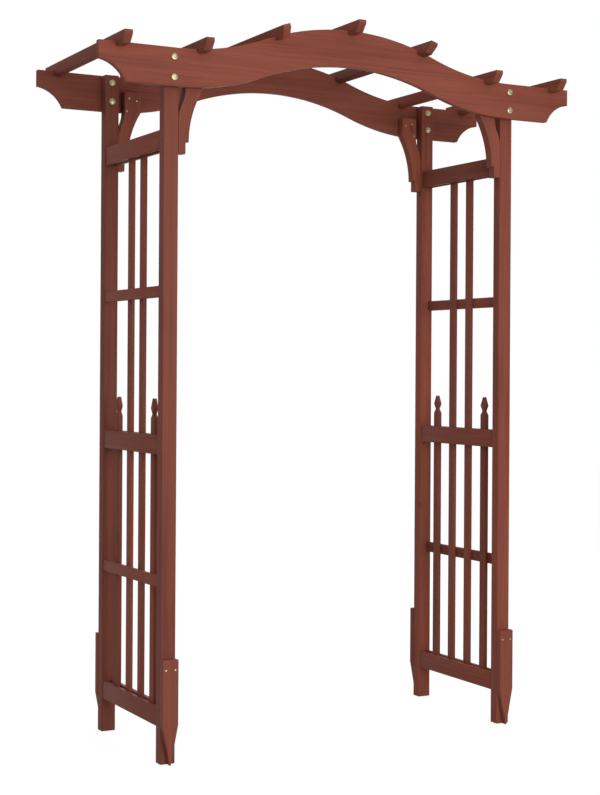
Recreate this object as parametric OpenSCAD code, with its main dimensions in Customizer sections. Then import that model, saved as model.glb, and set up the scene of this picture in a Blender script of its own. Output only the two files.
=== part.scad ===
// Garden arbour: four posts, two arched top beams, seven notched rafters, knee
// brackets, ground stakes and two trellis sides. Millimetres, +Z up.
// X runs across the walk-through, Y runs through it, and the origin is on the
// ground at the middle of the four posts.

/* [Overall] */
// Width across the outer faces of the posts
span_x = 1200; // [900:10:1500]
// Depth across the outer faces of the posts
span_y = 495; // [400:5:700]
// Height of the straight top edge of the beams above the ground
beam_top = 2028; // [1900:1:2500]

/* [Posts] */
// Width of a post, across the walk-through
post_w = 45; // [36:0.5:60]
// Depth of a post, along the walk-through
post_d = 35; // [29:0.5:50]
// How far the top of a post stays below the beam's top edge
post_drop = 2; // [0:1:20]
// Radius that the long edges of the sawn timbers are eased by
ease_r = 3; // [1:0.5:5]

/* [Arched beams] */
// Thickness of a beam
beam_t = 19; // [14:1:28]
// Depth of a beam from its top edge to its bottom edge
beam_h = 110; // [90:1:140]
// How far a beam runs out past the posts at each end
beam_overhang = 205; // [160:5:300]
// Rise of the arch above the beam's straight top edge
arch_rise = 107; // [80:1:135]
// Radius of the arch at its crown
arch_crown_r = 800; // [600:10:1000]
// How far inside the posts' outer faces the arch runs out
arch_land = 33; // [20:1:60]
// Height of the square face at a beam's end
end_face = 50; // [38:1:65]
// Radius of the cove cut under a beam's end
cove_r = 100; // [90:1:130]
// How far past the beam's end the centre of the cove lies
cove_out = 10; // [0:1:20]

/* [Rafters] */
// Width of a rafter
rafter_w = 25; // [18:1:32]
// Height of a rafter
rafter_h = 35; // [28:1:45]
// How deep a rafter is let into the beams
notch_d = 12.5; // [8:0.5:18]
// Play between a rafter and each side of its notch
notch_gap = 0.4; // [0.2:0.1:1]
// Distance from a beam's end to the middle of the last rafter
rafter_inset = 64; // [45:1:90]
// How far a rafter runs out past the beams at each end
rafter_overhang = 63.5; // [40:0.5:100]
// Height of the square nose at a rafter's end
rafter_nose = 11; // [6:1:16]
// Length of the slope cut under a rafter's end
rafter_bevel = 20; // [12:1:32]
// Slope of the arch, in degrees, from which a rafter leans square to it
lean_from = 10; // [6:1:15]

/* [Knee brackets] */
// Thickness of a bracket
knee_t = 30; // [22:1:35]
// How far a bracket's foot lies below the beam's bottom edge
knee_reach = 186; // [150:1:240]
// Height of the narrow foot
knee_foot_h = 34; // [20:1:50]
// Width of the narrow foot
knee_foot_w = 22; // [16:1:28]
// Width of the bracket just above its foot
knee_waist_w = 32; // [29:1:42]
// Radius of the bracket's long hollow front edge
knee_front_r = 290; // [240:5:400]
// How far a bracket's head runs up behind the beam
knee_head = 62; // [40:1:80]
// Gap between the bracket's head and the post
knee_gap = 21; // [15:1:27]
// Height of the curve that closes that gap
knee_heel_h = 87; // [70:1:110]

/* [Ground stakes] */
// Thickness of a stake
stake_t = 20; // [15:1:26]
// Width of a stake
stake_w = 48; // [38:1:60]
// Height of a stake's top above the ground
stake_top = 298; // [240:1:360]
// Height at which the taper to the tip begins
stake_taper = 114; // [90:1:140]
// Width of the blunt tip
stake_tip_w = 4; // [2:1:8]

/* [Side rails] */
// Thickness of a rail board
rail_t = 14; // [11:1:18]
// Height of a broad rail board
rail_h = 55; // [44:1:68]
// Height of a slim rail
slim_h = 33; // [26:1:40]
// Height of the bottom rail's lower edge
bottom_rail_z = 102; // [80:1:130]
// Height of the slim lower rail's lower edge
lower_slim_z = 497; // [440:1:600]
// Height of the middle rail's lower edge
mid_rail_z = 875; // [800:1:950]
// Height of the slim upper rail's lower edge
upper_slim_z = 1324; // [1200:1:1450]
// Distance from the top rail's lower edge up to the beam's top edge
top_rail_drop = 282; // [240:1:400]

/* [Trellis slats] */
// Thickness of a slat
slat_t = 12; // [9:1:15]
// Width of a slat
slat_w = 30; // [24:1:36]
// Distance between the middles of neighbouring slats
slat_pitch = 92; // [80:1:105]
// How far the slats stay inside the edges of the rails that clasp them
slat_inset = 5; // [2:1:12]
// Height of a picket's tip above the middle rail
picket_rise = 104; // [85:1:130]
// Width of the flat at a picket's tip
picket_tip_w = 4; // [3:1:10]
// Height of a picket's spear head
picket_head_h = 28; // [22:1:36]
// Width of the neck below the head
picket_neck_w = 8; // [6:1:14]
// Height of the neck's hollow from shoulder to shoulder
picket_neck_h = 30; // [22:1:38]

/* [Hidden] */
$fn = 96;
stain = [0.50, 0.28, 0.22];
stain_dark = [0.43, 0.24, 0.19];
beam_len = span_x + 2 * beam_overhang;
arch_run = span_x / 2 - arch_land;
beam_bottom = beam_top - beam_h;
rafter_count = 7;
rafter_pitch = (beam_len / 2 - rafter_inset) / ((rafter_count - 1) / 2);
rafter_len = span_y + 2 * beam_t + 2 * rafter_overhang;
post_x = span_x / 2 - post_w / 2;
post_y = span_y / 2 - post_d / 2;
rail_len = span_y - 2 * post_d;
top_rail_z = beam_top - top_rail_drop;
picket_top = mid_rail_z + rail_h + picket_rise;

// An S-shaped edge of two tangent arcs: a crown that starts level at height
// rise, and a reversed foot that runs out level at height 0, a distance run
// away. The three functions give its foot radius, height and slope at x.
function ogee_foot_r(run, rise, crown_r) = (run * run + rise * rise) / (2 * rise) - crown_r;
function ogee_z(x, run, rise, crown_r) =
    let (foot_r = ogee_foot_r(run, rise, crown_r),
         turn_x = run * crown_r / (crown_r + foot_r))
    x >= run ? 0
    : x <= turn_x ? rise - crown_r + sqrt(crown_r * crown_r - x * x)
    : foot_r - sqrt(foot_r * foot_r - pow(run - x, 2));
function ogee_slope(x, run, rise, crown_r) =
    let (foot_r = ogee_foot_r(run, rise, crown_r),
         turn_x = run * crown_r / (crown_r + foot_r))
    x >= run ? 0 : x <= turn_x ? asin(x / crown_r) : asin((run - x) / foot_r);

// Height of the arch above the beam's straight top edge, and its slope.
function arch_z(x) = ogee_z(abs(x), arch_run, arch_rise, arch_crown_r);
function arch_slope(x) = sign(x) * ogee_slope(abs(x), arch_run, arch_rise, arch_crown_r);

function rafter_x(i) = (i - (rafter_count - 1) / 2) * rafter_pitch;
function rafter_lean(x) = abs(arch_slope(x)) >= lean_from ? arch_slope(x) : 0;

// Where the two rail boards and the slats between them lie, counted inwards
// from the outer face of the posts. The sandwich is centred in the post.
stack_t = 2 * rail_t + slat_t;
outer_board = (post_w - stack_t) / 2;
slat_layer = outer_board + rail_t;
inner_board = slat_layer + slat_t;

// An upright or level timber of section a x b with its long edges eased.
module eased_rect(a, b) {
    r = min(ease_r, a / 6, b / 6);
    union() {
        translate([-a / 2 + r, -b / 2]) square([a - 2 * r, b]);
        translate([-a / 2, -b / 2 + r]) square([a, b - 2 * r]);
        for (x = [-1, 1], y = [-1, 1])
            translate([x * (a / 2 - r), y * (b / 2 - r)]) circle(r);
    }
}

// The beam's outline before its ends and notches are cut: the upper edge from
// left to right, then the same curve one beam depth lower from right to left.
module arched_board() {
    steps = [for (k = [0 : 72]) -arch_run + k * arch_run / 36];
    polygon(concat(
        [[-beam_len / 2, beam_top]],
        [for (x = steps) [x, beam_top + arch_z(x)]],
        [[beam_len / 2, beam_top], [beam_len / 2, beam_bottom]],
        [for (k = [0 : 72]) [-steps[k], beam_bottom + arch_z(steps[k])]],
        [[-beam_len / 2, beam_bottom]]
    ));
}

// Puts its children on the arch's upper edge where a rafter crosses it.
module at_rafter(i) {
    x = rafter_x(i);
    translate([x, beam_top + arch_z(x)]) rotate(-rafter_lean(x)) children();
}

module post(side, end) {
    color(stain)
    translate([side * post_x, end * post_y, 0])
        linear_extrude(height = beam_top - post_drop) eased_rect(post_w, post_d);
}

module beam_outline() {
    cove_y = beam_top - end_face - sqrt(cove_r * cove_r - cove_out * cove_out);
    difference() {
        arched_board();
        for (side = [-1, 1])
            translate([side * (beam_len / 2 + cove_out), cove_y]) circle(cove_r, $fn = 180);
        for (i = [0 : rafter_count - 1])
            at_rafter(i)
                translate([-rafter_w / 2 - notch_gap, -notch_d])
                    square([rafter_w + 2 * notch_gap, rafter_h]);
    }
}

module arched_beam(end) {
    color(stain)
    translate([0, end * (span_y / 2 + beam_t / 2) + beam_t / 2, 0])
        rotate([90, 0, 0]) linear_extrude(height = beam_t) beam_outline();
}

module rafter(i) {
    x = rafter_x(i);
    half = rafter_len / 2;
    color(stain_dark)
    translate([x, 0, beam_top + arch_z(x)])
        rotate([0, rafter_lean(x), 0])
            translate([-rafter_w / 2, 0, -notch_d])
                rotate([90, 0, 90]) linear_extrude(height = rafter_w)
                    polygon([
                        [-half + rafter_bevel, 0], [half - rafter_bevel, 0],
                        [half, rafter_h - rafter_nose], [half, rafter_h],
                        [-half, rafter_h], [-half, rafter_h - rafter_nose]
                    ]);
}

// Drawn with the post's inner face at x = 0 and the beam's bottom edge at y = 0.
module knee_outline() {
    waist_y = -knee_reach + knee_foot_h;
    front_x = knee_waist_w + knee_front_r;
    front = [for (k = [0 : 20]) let (y = waist_y * (1 - k / 20))
        [front_x - sqrt(knee_front_r * knee_front_r - pow(y - waist_y, 2)), y]];
    heel_crown_r = ogee_foot_r(knee_heel_h, knee_gap, 0) / 2;
    heel = [for (k = [0 : 16]) let (y = knee_heel_h * k / 16)
        [ogee_z(y, knee_heel_h, knee_gap, heel_crown_r), -y]];
    polygon(concat(
        [[0, -knee_reach], [knee_foot_w, -knee_reach], [knee_foot_w, waist_y]],
        front,
        [[front[20][0], knee_head], [knee_gap, knee_head]],
        heel
    ));
}

module knee_bracket(side, end) {
    color(stain)
    translate([side * (span_x / 2 - post_w), end * (span_y / 2 - knee_t / 2), beam_bottom])
        mirror([side > 0 ? 1 : 0, 0, 0])
            translate([0, knee_t / 2, 0])
                rotate([90, 0, 0]) linear_extrude(height = knee_t) knee_outline();
}

module ground_stake(side, end) {
    color(stain)
    translate([side * post_x, end * (span_y / 2 + stake_t / 2) + stake_t / 2, 0])
        rotate([90, 0, 0]) linear_extrude(height = stake_t)
            polygon([
                [-stake_tip_w / 2, 0], [stake_tip_w / 2, 0],
                [stake_w / 2, stake_taper], [stake_w / 2, stake_top],
                [-stake_w / 2, stake_top], [-stake_w / 2, stake_taper]
            ]);
}

// A level board between the front and rear posts of one side.
module side_rail(side, layer, z, h) {
    color(stain_dark)
    translate([side * (span_x / 2 - layer - rail_t / 2), rail_len / 2, z + h / 2])
        rotate([90, 0, 0]) linear_extrude(height = rail_len) eased_rect(rail_t, h);
}

// Sides and ends of the slats' middles.
module slat_place(side, steps) {
    translate([side * (span_x / 2 - slat_layer - slat_t / 2), steps * slat_pitch, 0])
        children();
}

module long_slat(side, end) {
    foot = bottom_rail_z + slat_inset;
    color(stain_dark)
    slat_place(side, end / 2)
        translate([0, 0, foot])
            linear_extrude(height = top_rail_z + rail_h - slat_inset - foot)
                eased_rect(slat_t, slat_w);
}

module picket(side, end) {
    foot = bottom_rail_z + slat_inset;
    shoulder = picket_top - picket_head_h;
    w = slat_w / 2;
    color(stain_dark)
    slat_place(side, end * 3 / 2)
        translate([-slat_t / 2, 0, 0])
            rotate([90, 0, 90]) linear_extrude(height = slat_t)
                polygon([
                    [-w, foot], [w, foot],
                    [w, shoulder - picket_neck_h],
                    [picket_neck_w / 2, shoulder - picket_neck_h * 0.58],
                    [w, shoulder],
                    [picket_tip_w / 2, picket_top], [-picket_tip_w / 2, picket_top],
                    [-w, shoulder],
                    [-picket_neck_w / 2, shoulder - picket_neck_h * 0.58],
                    [-w, shoulder - picket_neck_h]
                ]);
}

post(-1, -1);  // post_front_left
post(1, -1);  // post_front_right
post(-1, 1);  // post_rear_left
post(1, 1);  // post_rear_right
arched_beam(-1);  // arched_beam_front
arched_beam(1);  // arched_beam_rear
rafter(0);  // rafter_1
rafter(1);  // rafter_2
rafter(2);  // rafter_3
rafter(3);  // rafter_4
rafter(4);  // rafter_5
rafter(5);  // rafter_6
rafter(6);  // rafter_7
knee_bracket(-1, -1);  // knee_bracket_front_left
knee_bracket(1, -1);  // knee_bracket_front_right
knee_bracket(-1, 1);  // knee_bracket_rear_left
knee_bracket(1, 1);  // knee_bracket_rear_right
ground_stake(-1, -1);  // ground_stake_front_left
ground_stake(1, -1);  // ground_stake_front_right
ground_stake(-1, 1);  // ground_stake_rear_left
ground_stake(1, 1);  // ground_stake_rear_right
side_rail(-1, outer_board, bottom_rail_z, rail_h);  // bottom_rail_outer_left
side_rail(-1, inner_board, bottom_rail_z, rail_h);  // bottom_rail_inner_left
side_rail(1, outer_board, bottom_rail_z, rail_h);  // bottom_rail_outer_right
side_rail(1, inner_board, bottom_rail_z, rail_h);  // bottom_rail_inner_right
side_rail(-1, outer_board, mid_rail_z, rail_h);  // middle_rail_outer_left
side_rail(-1, inner_board, mid_rail_z, rail_h);  // middle_rail_inner_left
side_rail(1, outer_board, mid_rail_z, rail_h);  // middle_rail_outer_right
side_rail(1, inner_board, mid_rail_z, rail_h);  // middle_rail_inner_right
side_rail(-1, outer_board, top_rail_z, rail_h);  // top_rail_outer_left
side_rail(-1, inner_board, top_rail_z, rail_h);  // top_rail_inner_left
side_rail(1, outer_board, top_rail_z, rail_h);  // top_rail_outer_right
side_rail(1, inner_board, top_rail_z, rail_h);  // top_rail_inner_right
side_rail(-1, outer_board, lower_slim_z, slim_h);  // lower_slim_rail_left
side_rail(1, outer_board, lower_slim_z, slim_h);  // lower_slim_rail_right
side_rail(-1, outer_board, upper_slim_z, slim_h);  // upper_slim_rail_left
side_rail(1, outer_board, upper_slim_z, slim_h);  // upper_slim_rail_right
long_slat(-1, -1);  // long_slat_front_left
long_slat(-1, 1);  // long_slat_rear_left
long_slat(1, -1);  // long_slat_front_right
long_slat(1, 1);  // long_slat_rear_right
picket(-1, -1);  // picket_front_left
picket(-1, 1);  // picket_rear_left
picket(1, -1);  // picket_front_right
picket(1, 1);  // picket_rear_right
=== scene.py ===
"""Garden arbour: the look of its stained timbers and its zinc-plated bolts and nails."""

import math
import random
import bmesh
import bpy
from mathutils import Matrix, Vector


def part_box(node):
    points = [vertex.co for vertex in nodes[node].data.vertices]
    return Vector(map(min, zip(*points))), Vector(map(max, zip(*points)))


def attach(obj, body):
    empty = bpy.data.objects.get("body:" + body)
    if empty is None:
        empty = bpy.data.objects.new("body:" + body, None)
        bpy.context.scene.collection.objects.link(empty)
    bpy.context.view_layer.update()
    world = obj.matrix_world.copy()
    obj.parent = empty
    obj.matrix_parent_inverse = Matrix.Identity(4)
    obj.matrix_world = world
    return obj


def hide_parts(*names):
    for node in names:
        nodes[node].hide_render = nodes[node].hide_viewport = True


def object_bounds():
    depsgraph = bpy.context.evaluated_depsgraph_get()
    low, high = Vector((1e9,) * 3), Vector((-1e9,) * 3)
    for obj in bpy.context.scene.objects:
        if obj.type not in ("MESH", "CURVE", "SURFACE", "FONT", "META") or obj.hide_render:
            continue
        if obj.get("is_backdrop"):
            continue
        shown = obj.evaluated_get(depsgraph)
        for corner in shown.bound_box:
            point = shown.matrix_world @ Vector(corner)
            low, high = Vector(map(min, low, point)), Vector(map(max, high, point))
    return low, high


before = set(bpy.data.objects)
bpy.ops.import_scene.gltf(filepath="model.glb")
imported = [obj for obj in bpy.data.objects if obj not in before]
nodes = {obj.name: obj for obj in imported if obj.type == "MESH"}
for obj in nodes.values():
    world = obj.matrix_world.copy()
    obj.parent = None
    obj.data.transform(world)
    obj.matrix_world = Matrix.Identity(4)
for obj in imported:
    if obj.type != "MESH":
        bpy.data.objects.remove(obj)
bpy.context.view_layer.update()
scene = bpy.context.scene
scene.view_settings.view_transform = "Standard"


# ---------------------------------------------------------------- camera
CAMERA_AT = (-2.35628, -4.35671, 1.12546)
CAMERA_HEADING = 0.4909     # radians, from +Y towards +X
CAMERA_ROLL = 0.00608       # radians
CAMERA_SHIFT = -0.0374214   # of the sensor's width
SENSOR_WIDTH = 36           # mm
LENS_LENGTH = 71.33434      # mm


def place_camera():
    ahead = Vector((math.sin(CAMERA_HEADING), math.cos(CAMERA_HEADING), 0))
    level = Vector((math.cos(CAMERA_HEADING), -math.sin(CAMERA_HEADING), 0))
    up = Vector((0, 0, 1))
    right = level * math.cos(CAMERA_ROLL) + up * math.sin(CAMERA_ROLL)
    top = up * math.cos(CAMERA_ROLL) - level * math.sin(CAMERA_ROLL)
    data = bpy.data.cameras.new("camera")
    data.sensor_width = SENSOR_WIDTH
    data.lens = LENS_LENGTH
    data.shift_y = CAMERA_SHIFT
    data.clip_end = 60
    cam = bpy.data.objects.new("camera", data)
    scene.collection.objects.link(cam)
    turn = Matrix((right, top, -ahead)).transposed().to_4x4()
    cam.matrix_world = Matrix.Translation(CAMERA_AT) @ turn
    scene.camera = cam


place_camera()


# ---------------------------------------------------------------- finishes
class Finish:
    """A material under construction: small helpers that add and join nodes."""

    def __init__(self, name):
        self.mat = bpy.data.materials.new(name)
        self.mat.use_nodes = True
        self.tree = self.mat.node_tree
        self.shader = self.tree.nodes["Principled BSDF"]

    def add(self, kind, inputs=None, **settings):
        node = self.tree.nodes.new(kind)
        for key, value in settings.items():
            setattr(node, key, value)
        for key, value in (inputs or {}).items():
            self.set(node.inputs[key], value)
        return node

    def set(self, socket, value):
        if isinstance(value, bpy.types.NodeSocket):
            self.tree.links.new(value, socket)
        else:
            socket.default_value = value

    def math(self, how, a, b=0.0, c=None):
        node = self.add("ShaderNodeMath", operation=how)
        self.set(node.inputs[0], a)
        self.set(node.inputs[1], b)
        if c is not None:
            self.set(node.inputs[2], c)
        return node.outputs[0]

    def vmath(self, how, a, b):
        node = self.add("ShaderNodeVectorMath", operation=how)
        self.set(node.inputs[0], a)
        self.set(node.inputs[1], b)
        return node.outputs[0]

    def noise(self, where, scale, detail=2.0, rough=0.5, stretch=None, colour=False):
        if stretch:
            where = self.vmath("MULTIPLY", where, stretch)
        node = self.add("ShaderNodeTexNoise", {"Vector": where, "Scale": scale,
                                               "Detail": detail, "Roughness": rough})
        return node.outputs["Color" if colour else "Fac"]

    def ramp(self, value, stops):
        node = self.add("ShaderNodeValToRGB", {"Fac": value})
        elements = node.color_ramp.elements
        elements[0].position, elements[1].position = stops[0][0], stops[-1][0]
        for at, _ in stops[1:-1]:
            elements.new(at)
        for element, (at, level) in zip(elements, stops):
            element.color = (*level, 1) if isinstance(level, tuple) else (level, level, level, 1)
        return node.outputs["Color"]

    def mix(self, amount, a, b, how="MIX"):
        node = self.add("ShaderNodeMix", data_type="RGBA", blend_type=how)
        self.set(node.inputs["Factor"], amount)
        self.set(node.inputs["A"], (*a, 1) if isinstance(a, tuple) else a)
        self.set(node.inputs["B"], (*b, 1) if isinstance(b, tuple) else b)
        return node.outputs["Result"]


def stained_wood():
    """Softwood under a red-brown stain. Each board carries its own grain position, along,
    across and through the board in metres, so rings run on round its edges and ends."""
    f = Finish("stained_wood")
    place = f.add("ShaderNodeAttribute", attribute_name="grain").outputs["Vector"]
    tone = f.add("ShaderNodeAttribute", attribute_name="tone").outputs["Fac"]

    # knots: rare cells, with the grain parting round them
    cells = f.vmath("MULTIPLY", place, (3.8, 9.0, 9.0))
    knot = f.add("ShaderNodeTexVoronoi", {"Vector": cells, "Scale": 1.0, "Randomness": 1.0})
    near = f.add("ShaderNodeMapRange", {"Value": knot.outputs["Distance"], "From Min": 0.0,
                                        "From Max": 0.17, "To Min": 1.0, "To Max": 0.0},
                 interpolation_type="SMOOTHSTEP").outputs["Result"]
    core = f.add("ShaderNodeMapRange", {"Value": knot.outputs["Distance"], "From Min": 0.03,
                                        "From Max": 0.07, "To Min": 1.0, "To Max": 0.0},
                 interpolation_type="SMOOTHSTEP").outputs["Result"]

    # growth rings round the heart of the log
    sway = f.noise(place, 1.0, 2.0, 0.5, (1.6, 9.0, 9.0), colour=True)
    sway = f.vmath("SUBTRACT", sway, (0.5, 0.5, 0.5))
    bent = f.vmath("ADD", place, f.vmath("MULTIPLY", sway, (0.0, 0.022, 0.022)))
    across = f.add("ShaderNodeSeparateXYZ", {"Vector": bent})
    radius = f.math("SQRT", f.math("ADD", f.math("MULTIPLY", across.outputs["Y"], across.outputs["Y"]),
                                   f.math("MULTIPLY", across.outputs["Z"], across.outputs["Z"])))
    rings = f.math("MULTIPLY_ADD", radius, 230.0, f.math("MULTIPLY", near, 1.6))
    ring = f.ramp(f.math("FRACT", rings),
                  [(0.0, 0.15), (0.55, 0.42), (0.82, 1.0), (0.95, 0.75), (1.0, 0.15)])

    # fine fibres and short dark pores
    fibre = f.noise(place, 1.0, 4.0, 0.62, (7.0, 620.0, 620.0))
    streak = f.noise(place, 1.0, 3.0, 0.55, (1.8, 90.0, 90.0))
    pores = f.ramp(f.noise(place, 1.0, 2.0, 0.5, (26.0, 1500.0, 1500.0)),
                   [(0.0, 0.0), (0.62, 0.0), (0.74, 1.0)])
    cloud = f.noise(place, 1.0, 3.0, 0.5, (2.0, 11.0, 11.0))

    light, body, dark = (0.275, 0.078, 0.049), (0.222, 0.062, 0.039), (0.140, 0.038, 0.025)
    base = f.ramp(f.math("MULTIPLY_ADD", cloud, 0.55, f.math("MULTIPLY", streak, 0.45)),
                  [(0.30, dark), (0.50, body), (0.72, light)])
    base = f.mix(f.math("MULTIPLY", ring, 0.30), base, dark)
    base = f.mix(f.ramp(fibre, [(0.34, 0.30), (0.52, 0.0)]), base, dark)
    base = f.mix(f.ramp(fibre, [(0.52, 0.0), (0.70, 0.22)]), base, (0.300, 0.098, 0.060))
    base = f.mix(f.math("MULTIPLY", pores, 0.28), base, (0.070, 0.020, 0.015))
    base = f.mix(f.math("MULTIPLY", near, 0.12), base, dark)
    base = f.mix(f.math("MULTIPLY", core, 0.55), base, (0.058, 0.019, 0.014))
    # each board took the stain a little differently
    base = f.mix(1.0, base, f.ramp(tone, [(0.0, (0.84, 0.86, 0.88)), (0.5, (0.98, 0.98, 0.98)),
                                          (1.0, (1.12, 1.05, 1.02))]), "MULTIPLY")
    f.set(f.shader.inputs["Base Color"], base)
    f.set(f.shader.inputs["Roughness"],
          f.math("MULTIPLY_ADD", fibre, 0.20, f.math("MULTIPLY_ADD", ring, -0.06, 0.55)))
    f.shader.inputs["Specular IOR Level"].default_value = 0.12
    height = f.math("ADD", f.math("MULTIPLY", fibre, 0.55), f.math("MULTIPLY", ring, 0.35))
    height = f.math("SUBTRACT", height, f.math("MULTIPLY", pores, 0.5))
    bump = f.add("ShaderNodeBump", {"Strength": 0.35, "Distance": 0.0006, "Height": height})
    f.set(f.shader.inputs["Normal"], bump.outputs["Normal"])
    return f.mat


def plated_steel():
    """Dull straw-tinted zinc plating, with grime where it was handled."""
    f = Finish("zinc_steel")
    place = f.add("ShaderNodeTexCoord").outputs["Object"]
    spangle = f.noise(place, 420.0, 3.0, 0.6)
    grime = f.noise(place, 95.0, 4.0, 0.6)
    base = f.ramp(spangle, [(0.32, (0.40, 0.35, 0.20)), (0.55, (0.52, 0.47, 0.29)),
                            (0.75, (0.66, 0.62, 0.46))])
    base = f.mix(f.ramp(grime, [(0.50, 0.0), (0.72, 0.5)]), base, (0.32, 0.27, 0.18))
    f.set(f.shader.inputs["Base Color"], base)
    f.shader.inputs["Metallic"].default_value = 1.0
    f.set(f.shader.inputs["Roughness"], f.math("MULTIPLY_ADD", grime, 0.30, 0.20))
    bump = f.add("ShaderNodeBump", {"Strength": 0.20, "Distance": 0.0004, "Height": spangle})
    f.set(f.shader.inputs["Normal"], bump.outputs["Normal"])
    return f.mat


WOOD = stained_wood()
ZINC = plated_steel()


# ---------------------------------------------------------------- timbers
ARRIS = 0.0011                      # width taken off each sharp edge
FLAT_WITHIN = math.radians(0.15)    # faces nearer than this are one face
SHARP_FROM = math.radians(25)       # edges that lose their arris
CREASE_FROM = math.radians(28)      # edges that stay crisp when shaded
KNEE_TILT = math.radians(11)        # lean of a knee bracket's grain


def grain_axes(name):
    """Unit vectors along the grain, across the broad face and through the board."""
    if name.startswith(("post", "long_slat", "picket", "ground_stake")):
        along = Vector((0, 0, 1))
        return along, Vector((0, 1, 0)), Vector((1, 0, 0))
    if name.startswith("knee"):
        tilt = KNEE_TILT if name.endswith("left") else -KNEE_TILT
        along = Vector((math.sin(tilt), 0, math.cos(tilt)))
        return along, Vector((math.cos(tilt), 0, -math.sin(tilt))), Vector((0, 1, 0))
    if name.startswith("arched"):
        return Vector((1, 0, 0)), Vector((0, 0, 1)), Vector((0, 1, 0))
    return Vector((0, 1, 0)), Vector((0, 0, 1)), Vector((1, 0, 0))


def timber(name):
    """The CAD solid's own shape with every sharp arris taken off, as sanded stock has."""
    chance = random.Random(name)
    low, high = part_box(name)
    mid = (low + high) / 2
    shape = bmesh.new()
    shape.from_mesh(nodes[name].data)
    bmesh.ops.remove_doubles(shape, verts=shape.verts, dist=1e-5)
    bmesh.ops.dissolve_limit(shape, angle_limit=FLAT_WITHIN, verts=shape.verts, edges=shape.edges)
    sharp = [e for e in shape.edges if len(e.link_faces) == 2
             and e.calc_face_angle(0) > SHARP_FROM]
    bmesh.ops.bevel(shape, geom=sharp, offset=ARRIS, offset_type="OFFSET", segments=2, profile=0.5,
                    affect="EDGES", material=-1, clamp_overlap=True)
    along, across, through = grain_axes(name)
    heart = Vector((chance.uniform(-20, 20), chance.choice((-1, 1)) * chance.uniform(0.02, 0.07),
                    chance.choice((-1, 1)) * chance.uniform(0.03, 0.09)))
    tone = chance.random()
    mesh = bpy.data.meshes.new(name + "_timber")
    shape.to_mesh(mesh)
    shape.free()
    grain = []
    for v in mesh.vertices:
        at = v.co - mid
        grain.extend(heart + Vector((at.dot(along), at.dot(across), at.dot(through))))
    mesh.attributes.new("grain", "FLOAT_VECTOR", "POINT")
    mesh.attributes["grain"].data.foreach_set("vector", grain)
    mesh.attributes.new("tone", "FLOAT", "POINT")
    mesh.attributes["tone"].data.foreach_set("value", [tone] * len(mesh.vertices))
    for face in mesh.polygons:
        face.use_smooth = True
    mesh.set_sharp_from_angle(angle=CREASE_FROM)
    mesh.materials.append(WOOD)
    piece = bpy.data.objects.new(name + "_timber", mesh)
    scene.collection.objects.link(piece)
    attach(piece, "root")
    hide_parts(name)


for name in sorted(nodes):
    timber(name)


# ---------------------------------------------------------------- bolts and nails
# Outlines are (radius, height above the timber's face).
BOLT_HEIGHTS = {"upper": 2.0020, "lower": 1.9445}
BOLT_HEAD = [(0.0, 0.0014), (0.0048, 0.0014), (0.0050, 0.0038), (0.0056, 0.0046),
             (0.0068, 0.0047), (0.0086, 0.0040), (0.0099, 0.0026), (0.0106, 0.0010),
             (0.0108, -0.0006), (0.0, -0.0020)]
WASHER = [(0.0, -0.0008), (0.0098, -0.0008), (0.0102, 0.0004), (0.0099, 0.0015), (0.0, 0.0016)]
NUT_FLATS, NUT_HEIGHT, NUT_SEAT = 0.0130, 0.0052, 0.0014
NUT_ARRIS = 0.0008
THREAD_PITCH, THREAD_TURNS, THREAD_FROM = 0.00125, 7, 0.0062
THREAD_ROOT, THREAD_CREST = 0.0033, 0.0038
NAIL_HEAD = [(0.0, 0.00035), (0.0015, 0.0004), (0.0023, 0.0003), (0.0026, 0.0), (0.0026, -0.001),
             (0.0, -0.001)]
STAKE_NAIL_HALF_GAP, STAKE_NAIL_DROP = 0.0145, 0.029
BRACKET_NAILS = ((0.040, 0.020), (0.014, 0.026), (0.047, 0.060))    # (in from the edge, down)
BRACKET_EDGE = 0.001
METAL_CREASE_FROM = math.radians(35)


def set_in_place(part, shape, at, facing):
    """Turns a part from +Z to facing, moves it to at and adds it to the shape."""
    turn = Vector((0, 0, 1)).rotation_difference(facing).to_matrix()
    bmesh.ops.rotate(part, verts=part.verts, cent=(0, 0, 0), matrix=turn)
    bmesh.ops.translate(part, verts=part.verts, vec=at)
    carrier = bpy.data.meshes.new("carrier")
    part.to_mesh(carrier)
    part.free()
    shape.from_mesh(carrier)
    bpy.data.meshes.remove(carrier)


def turned(shape, outline, at, facing):
    """Spins an outline of (radius, height) points about the line through at along facing."""
    part = bmesh.new()
    ring = [part.verts.new((r, 0, h)) for r, h in outline]
    edges = [part.edges.new(pair) for pair in zip(ring, ring[1:])]
    bmesh.ops.spin(part, geom=ring + edges, cent=(0, 0, 0), axis=(0, 0, 1), dvec=(0, 0, 0),
                   angle=2 * math.pi, steps=40, use_merge=True, use_duplicate=False)
    bmesh.ops.remove_doubles(part, verts=part.verts, dist=1e-6)
    bmesh.ops.recalc_face_normals(part, faces=part.faces)
    set_in_place(part, shape, at, facing)


def hexagon(shape, flats, height, at, facing, spin):
    """A nut, with its arrises taken off."""
    part = bmesh.new()
    radius = flats / math.sqrt(3)
    bmesh.ops.create_cone(part, cap_ends=True, segments=6, radius1=radius, radius2=radius, depth=height)
    bmesh.ops.bevel(part, geom=list(part.edges), offset=NUT_ARRIS, offset_type="OFFSET", segments=2,
                    profile=0.5, affect="EDGES", material=-1, clamp_overlap=True)
    bmesh.ops.rotate(part, verts=part.verts, cent=(0, 0, 0), matrix=Matrix.Rotation(spin, 3, "Z"))
    set_in_place(part, shape, at + facing * (height / 2), facing)


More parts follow.
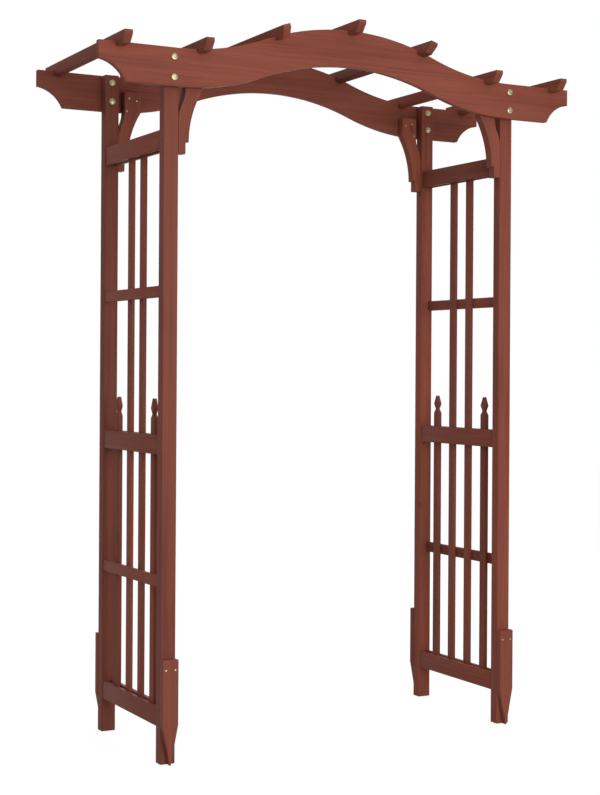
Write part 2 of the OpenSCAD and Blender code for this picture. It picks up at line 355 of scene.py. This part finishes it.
def finish_metal(name, shape):
    mesh = bpy.data.meshes.new(name)
    shape.to_mesh(mesh)
    shape.free()
    for face in mesh.polygons:
        face.use_smooth = True
    mesh.set_sharp_from_angle(angle=METAL_CREASE_FROM)
    mesh.materials.append(ZINC)
    piece = bpy.data.objects.new(name, mesh)
    scene.collection.objects.link(piece)
    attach(piece, "root")


def beam_bolt(side, end, row, height):
    """A sleeve-headed bolt through beam and post: a domed head with a socket on the beam's
    face, and a washer, a nut and the bolt's end on the post's far face."""
    low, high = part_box(f"post_{end}_{side}")
    beam_low, beam_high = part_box(f"arched_beam_{end}")
    x = (low.x + high.x) / 2
    out = Vector((0, -1, 0)) if end == "front" else Vector((0, 1, 0))
    face_y = beam_low.y if end == "front" else beam_high.y
    back_y = high.y if end == "front" else low.y
    chance = random.Random(f"{side}{end}{height}")
    shape = bmesh.new()
    # head: a low dome with a rolled rim round a socket
    turned(shape, BOLT_HEAD, Vector((x, face_y, height)), out)
    inward = -out
    at = Vector((x, back_y, height))
    turned(shape, WASHER, at, inward)
    hexagon(shape, NUT_FLATS, NUT_HEIGHT, at + inward * NUT_SEAT, inward, chance.uniform(0, 1.0))
    thread = [(0.0, 0.004)]
    for k in range(THREAD_TURNS):
        z = THREAD_FROM + k * THREAD_PITCH
        thread += [(THREAD_ROOT, z), (THREAD_CREST, z + THREAD_PITCH / 2)]
    thread += [(THREAD_ROOT, THREAD_FROM + THREAD_TURNS * THREAD_PITCH), (0.0027, 0.0156),
               (0.0, 0.0158)]
    turned(shape, thread, at, inward)
    finish_metal(f"bolt_{end}_{side}_{row}", shape)


for side in ("left", "right"):
    for end in ("front", "rear"):
        for row, height in BOLT_HEIGHTS.items():
            beam_bolt(side, end, row, height)


def nail_heads(name, places, facing):
    """Flat round heads that stand a little proud, with a shallow dish."""
    shape = bmesh.new()
    for place in places:
        turned(shape, NAIL_HEAD, Vector(place), Vector(facing))
    finish_metal(name, shape)


for side, sign in (("left", -1), ("right", 1)):
    for end, out in (("front", -1), ("rear", 1)):
        low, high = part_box(f"ground_stake_{end}_{side}")
        x = (low.x + high.x) / 2
        y = low.y if out < 0 else high.y
        z = high.z - STAKE_NAIL_DROP
        nail_heads(f"stake_nails_{end}_{side}",
                   [(x - STAKE_NAIL_HALF_GAP, y, z), (x + STAKE_NAIL_HALF_GAP, y, z)], (0, out, 0))
        low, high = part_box(f"knee_bracket_{end}_{side}")
        y = high.y if out < 0 else low.y
        x = -sign * BRACKET_EDGE + (high.x if side == "left" else low.x)
        nail_heads(f"bracket_nails_{end}_{side}",
                   [(x + sign * inset, y, high.z - drop) for inset, drop in BRACKET_NAILS], (0, -out, 0))


# ---------------------------------------------------------------- ground, sky and lamps
FLOOR_RADIUS, FLOOR_DROP, FLOOR_GREY = 14, 0.0005, 0.24
FLOOR_GLOW, FLOOR_MATT = 0.90, 0.14
SKY_LEVEL, SKY_SEEN = 0.72, 1.0
LAMP_SIZE, LAMP_AIM = 2.6, Vector((0, 0, 1.1))
LAMPS = (("key", 112, (-0.15, -4.3, 1.25)), ("rear", 55, (1.6, 4.2, 2.2)))    # name, watts, place


def white_for_camera(f, plain, level, keep):
    """Shows a surface nearly white to the camera and to reflections, and keeps its shadows."""
    rays = f.add("ShaderNodeLightPath")
    seen = f.math("MAXIMUM", f.math("MAXIMUM", rays.outputs["Is Camera Ray"], rays.outputs["Is Glossy Ray"]),
                  rays.outputs["Is Transmission Ray"])
    glow = f.add("ShaderNodeEmission", {"Color": (1, 1, 1, 1), "Strength": level})
    matt = f.add("ShaderNodeBsdfDiffuse", {"Color": (keep, keep, keep, 1)})
    lit = f.add("ShaderNodeAddShader")
    f.tree.links.new(glow.outputs[0], lit.inputs[0])
    f.tree.links.new(matt.outputs[0], lit.inputs[1])
    pick = f.add("ShaderNodeMixShader", {"Fac": seen})
    f.tree.links.new(plain, pick.inputs[1])
    f.tree.links.new(lit.outputs[0], pick.inputs[2])
    f.tree.links.new(pick.outputs[0], f.tree.nodes["Material Output"].inputs["Surface"])


def set_stage():
    f = Finish("studio_floor")
    f.shader.inputs["Base Color"].default_value = (FLOOR_GREY, FLOOR_GREY, FLOOR_GREY, 1)
    f.shader.inputs["Roughness"].default_value = 0.9
    white_for_camera(f, f.shader.outputs[0], FLOOR_GLOW, FLOOR_MATT)
    shape = bmesh.new()
    bmesh.ops.create_circle(shape, cap_ends=True, segments=96, radius=FLOOR_RADIUS)
    mesh = bpy.data.meshes.new("studio_floor")
    shape.to_mesh(mesh)
    shape.free()
    mesh.materials.append(f.mat)
    floor = bpy.data.objects.new("studio_floor", mesh)
    floor.location.z = -FLOOR_DROP
    scene.collection.objects.link(floor)
    floor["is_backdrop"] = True

    world = bpy.data.worlds.new("studio")
    scene.world = world
    world.use_nodes = True
    tree = world.node_tree
    rays = tree.nodes.new("ShaderNodeLightPath")
    level = tree.nodes.new("ShaderNodeMix")
    level.data_type = "FLOAT"
    level.inputs["A"].default_value = SKY_LEVEL
    level.inputs["B"].default_value = SKY_SEEN
    tree.links.new(rays.outputs["Is Camera Ray"], level.inputs["Factor"])
    tree.nodes["Background"].inputs["Color"].default_value = (1, 1, 1, 1)
    tree.links.new(level.outputs["Result"], tree.nodes["Background"].inputs["Strength"])

    for name, watts, at in LAMPS:
        lamp = bpy.data.lights.new(name, "AREA")
        lamp.energy, lamp.size = watts, LAMP_SIZE
        box = bpy.data.objects.new(name, lamp)
        away = Vector(at) - LAMP_AIM
        box.matrix_world = Matrix.Translation(at) @ away.to_track_quat("Z", "Y").to_matrix().to_4x4()
        box.visible_camera = False
        scene.collection.objects.link(box)


set_stage()

low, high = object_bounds()
